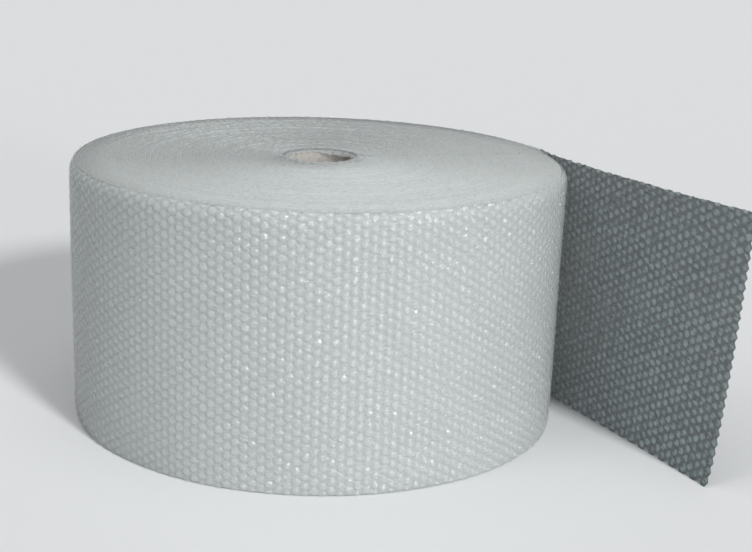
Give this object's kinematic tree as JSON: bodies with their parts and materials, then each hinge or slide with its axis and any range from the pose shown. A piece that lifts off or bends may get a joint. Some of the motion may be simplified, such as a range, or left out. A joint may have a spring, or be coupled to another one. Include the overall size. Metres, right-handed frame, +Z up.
{
  "type": "bubble wrap roll",
  "caption": "Wide roll of clear bubble film wound on a cardboard tube, standing on its end with its loose end free at the side.",
  "frame": {"origin": "axis of the roll at the level of its lower end face, which is the floor it stands on", "axes": "+Z up along the axis of the core tube; the loose end leaves on the +X side and runs towards -Y"},
  "size_m": [0.7387, 0.5764, 0.3],
  "materials": {
    "bubble_film": "milky translucent polyethylene film with glossy bubbles",
    "core_cardboard": "matt"
  },
  "bodies": {
    "root": {"bubble_film": "bubble_film", "core_tube": "core_cardboard"}
  },
  "joints": []
}
